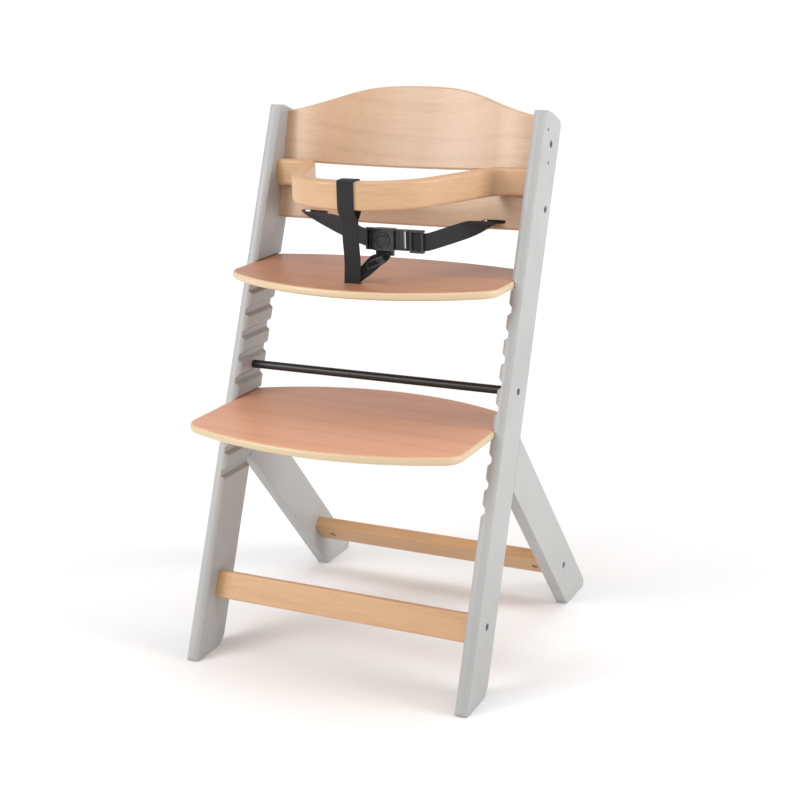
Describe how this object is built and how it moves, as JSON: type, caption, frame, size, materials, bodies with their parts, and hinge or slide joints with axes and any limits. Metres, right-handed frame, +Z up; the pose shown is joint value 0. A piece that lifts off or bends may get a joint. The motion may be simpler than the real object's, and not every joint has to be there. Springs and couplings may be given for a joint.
{
  "type": "baby high chair",
  "caption": "Wooden high chair with leaning grooved side panels, height-adjustable seat and foot plates, bent backrest, safety bow and buckled webbing harness.",
  "frame": {"origin": "centre of the floor footprint, under the middle of the chair", "axes": "+X across the chair to the sitter's left, -Y towards the front, +Z up"},
  "size_m": [0.436, 0.4986, 0.7868],
  "materials": {
    "panel_lacquer": "light grey satin lacquer on solid wood",
    "beech_veneer": "clear lacquered beech plywood",
    "beech_rail": "clear lacquered solid beech",
    "beech_dowel": "raw turned beech",
    "black_steel": "black powder coat",
    "bolt_steel": "black oxide",
    "zinc_steel": "zinc plated",
    "webbing": "black polyester webbing",
    "buckle_plastic": "black satin moulded plastic",
    "spring_steel": "bright spring wire"
  },
  "bodies": {
    "frame": {"right_post": "panel_lacquer", "left_post": "panel_lacquer", "right_rear_leg": "panel_lacquer", "left_rear_leg": "panel_lacquer", "side_panel_dowels": "beech_dowel", "upper_backrest": "beech_veneer", "lower_backrest": "beech_veneer", "backrest_dowels": "beech_dowel", "backrest_bolts": "bolt_steel", "backrest_nuts": "zinc_steel", "safety_bow": "beech_rail", "bow_dowels": "beech_dowel", "support_bar": "black_steel", "bar_inserts": "zinc_steel", "bar_bolts": "bolt_steel", "front_stretcher": "beech_rail", "rear_stretcher": "beech_rail", "stretcher_bolts": "bolt_steel", "stretcher_nuts": "zinc_steel", "crotch_strap": "webbing", "buckle_strap": "webbing", "left_waist_strap": "webbing", "right_waist_strap": "webbing", "waist_strap_stops": "buckle_plastic", "buckle_housing": "buckle_plastic", "button_spring": "spring_steel"},
    "seat": {"seat_plate": "beech_veneer", "crotch_strap_stop": "buckle_plastic"},
    "footrest": {"foot_plate": "beech_veneer"},
    "button": {"buckle_button": "buckle_plastic"},
    "tongue": {"buckle_tongue": "buckle_plastic"},
    "waist_slide": {"waist_adjuster": "buckle_plastic"},
    "crotch_slide": {"crotch_adjuster": "buckle_plastic"}
  },
  "joints": [
    {"name": "seat_plate_slide", "type": "slide", "parent": "frame", "child": "seat", "axis": [0, -1, 0], "range_m": [0, 0.06], "deforming": ["crotch_strap", "buckle_strap"]},
    {"name": "foot_plate_slide", "type": "slide", "parent": "frame", "child": "footrest", "axis": [0, -1, 0], "range_m": [0, 0.06]},
    {"name": "buckle_button_press", "type": "slide", "parent": "frame", "child": "button", "axis": [0, 1, 0], "range_m": [0, 0.0025], "stiffness_N_per_m": 600, "deforming": ["button_spring"]},
    {"name": "buckle_tongue_pull", "type": "slide", "parent": "frame", "child": "tongue", "axis": [1, 0, 0], "range_m": [0, 0.018], "deforming": ["right_waist_strap"]},
    {"name": "waist_adjuster_slide", "type": "slide", "parent": "tongue", "child": "waist_slide", "axis": [1, 0, 0], "range_m": [0, 0.008]},
    {"name": "crotch_adjuster_slide", "type": "slide", "parent": "frame", "child": "crotch_slide", "axis": [0.6551, 0.3379, 0.6758], "range_m": [-0.012, 0.003]}
  ]
}
